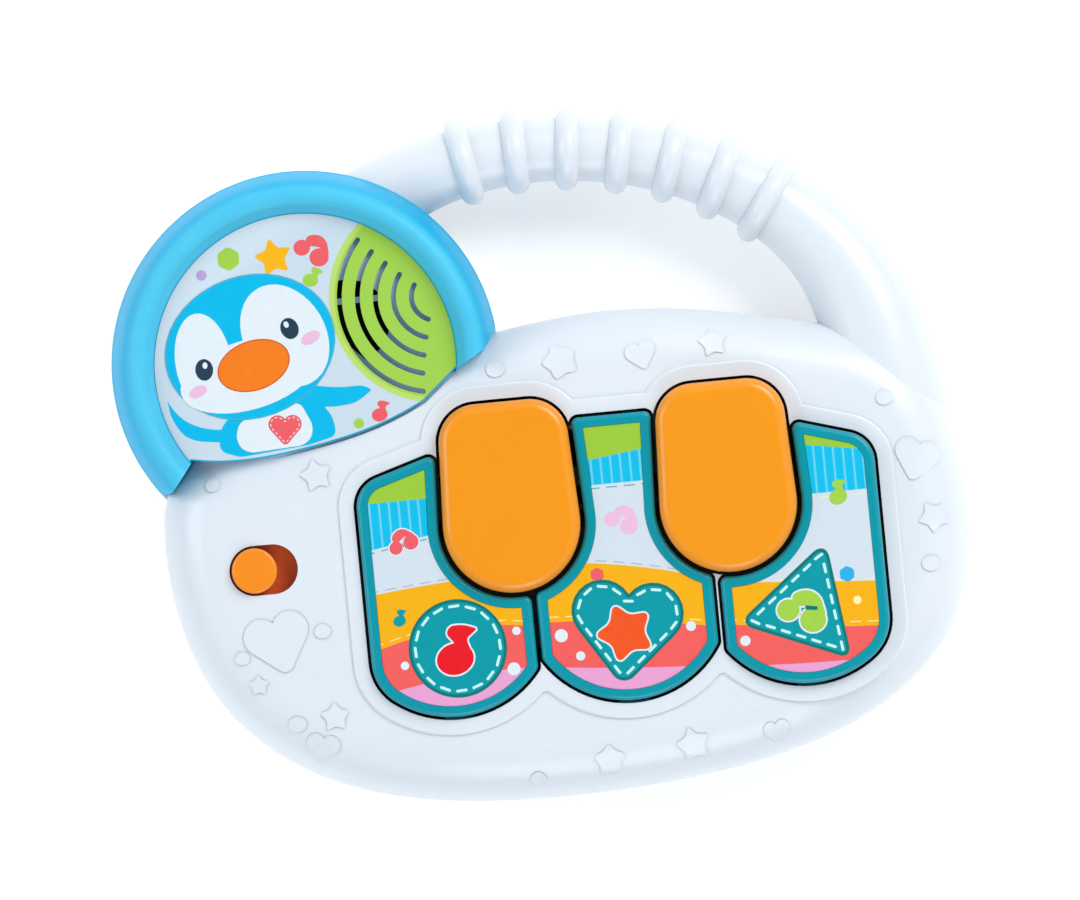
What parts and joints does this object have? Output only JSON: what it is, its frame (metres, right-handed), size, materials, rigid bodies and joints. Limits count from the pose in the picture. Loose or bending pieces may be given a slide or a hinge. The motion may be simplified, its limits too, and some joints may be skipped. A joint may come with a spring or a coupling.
{
  "type": "toy electronic keyboard",
  "caption": "Baby's battery-powered toy keyboard: sprung keys in an oval case with a blue hood, loudspeaker, slide switch and ribbed carrying handle.",
  "frame": {"origin": "under the middle of the case, on the flat back face it lies on", "axes": "+X along the row of keys towards the right-hand key, +Y from the keys towards the carrying handle, +Z out of the face"},
  "size_m": [0.2184, 0.1792, 0.041],
  "materials": {
    "case_white": "white ABS, fine satin, faintly blue",
    "hood_blue": "sky blue ABS, soft gloss",
    "key_teal": "teal ABS, soft gloss",
    "key_orange": "orange ABS, soft gloss",
    "printed_paper": "printed pale sticker, satin varnish",
    "steel": "plain steel",
    "board_green": "green solder mask",
    "black_plastic": "black moulded plastic and epoxy",
    "silicone": "translucent grey silicone rubber",
    "speaker_paper": "pressed black paper",
    "cell_wrap": "printed cell sleeve",
    "wire_red": "PVC wire sleeve"
  },
  "bodies": {
    "case": {"back_shell": "case_white", "battery_contacts": "steel", "battery_front": "cell_wrap", "battery_rear": "cell_wrap", "battery_springs": "steel", "battery_wires": "wire_red", "board_components": "black_plastic", "board_screws": "steel", "case_screws": "steel", "chip_cap": "black_plastic", "circuit_board": "board_green", "dome_left": "silicone", "dome_middle": "silicone", "dome_orange_left": "silicone", "dome_orange_right": "silicone", "dome_right": "silicone", "face_label": "printed_paper", "front_shell": "case_white", "hood": "hood_blue", "key_pivot_rod": "steel", "speaker_cone": "speaker_paper", "speaker_frame": "steel", "speaker_magnet": "steel", "speaker_screws": "steel", "speaker_wires": "wire_red", "switch_board": "board_green", "switch_body": "steel", "switch_wires": "wire_red"},
    "key_left_body": {"key_left": "key_teal", "label_left": "printed_paper"},
    "key_middle_body": {"key_middle": "key_teal", "label_middle": "printed_paper"},
    "key_right_body": {"key_right": "key_teal", "label_right": "printed_paper"},
    "key_orange_left_body": {"key_orange_left": "key_orange"},
    "key_orange_right_body": {"key_orange_right": "key_orange"},
    "switch_slider": {"switch_knob": "key_orange", "switch_lever": "black_plastic"},
    "battery_cover": {"battery_door": "case_white", "door_screws": "steel"}
  },
  "joints": [
    {"name": "key_left_press", "type": "hinge", "parent": "case", "child": "key_left_body", "pos_m": [0.00219, 0.01964, 0.024], "axis": [1, 0, 0], "range_deg": [0, 1.9], "stiffness_Nm_per_rad": 1.8, "springref_deg": -0.97, "deforming": ["dome_left"]},
    {"name": "key_middle_press", "type": "hinge", "parent": "case", "child": "key_middle_body", "pos_m": [0.00219, 0.01964, 0.024], "axis": [1, 0, 0], "range_deg": [0, 1.9], "stiffness_Nm_per_rad": 1.8, "springref_deg": -0.97, "deforming": ["dome_middle"]},
    {"name": "key_right_press", "type": "hinge", "parent": "case", "child": "key_right_body", "pos_m": [0.00219, 0.01964, 0.024], "axis": [1, 0, 0], "range_deg": [0, 1.9], "stiffness_Nm_per_rad": 1.8, "springref_deg": -0.97, "deforming": ["dome_right"]},
    {"name": "key_orange_left_press", "type": "hinge", "parent": "case", "child": "key_orange_left_body", "pos_m": [0.00219, 0.01964, 0.024], "axis": [1, 0, 0], "range_deg": [0, 2.2], "stiffness_Nm_per_rad": 1.8, "springref_deg": -0.97, "deforming": ["dome_orange_left"]},
    {"name": "key_orange_right_press", "type": "hinge", "parent": "case", "child": "key_orange_right_body", "pos_m": [0.00219, 0.01964, 0.024], "axis": [1, 0, 0], "range_deg": [0, 2.2], "stiffness_Nm_per_rad": 1.8, "springref_deg": -0.97, "deforming": ["dome_orange_right"]},
    {"name": "switch_slide", "type": "slide", "parent": "case", "child": "switch_slider", "axis": [1, 0, 0], "range_m": [0, 0.0048]},
    {"name": "battery_door_lift", "type": "slide", "parent": "case", "child": "battery_cover", "axis": [0, 0, -1], "range_m": [0, 0.012]}
  ]
}
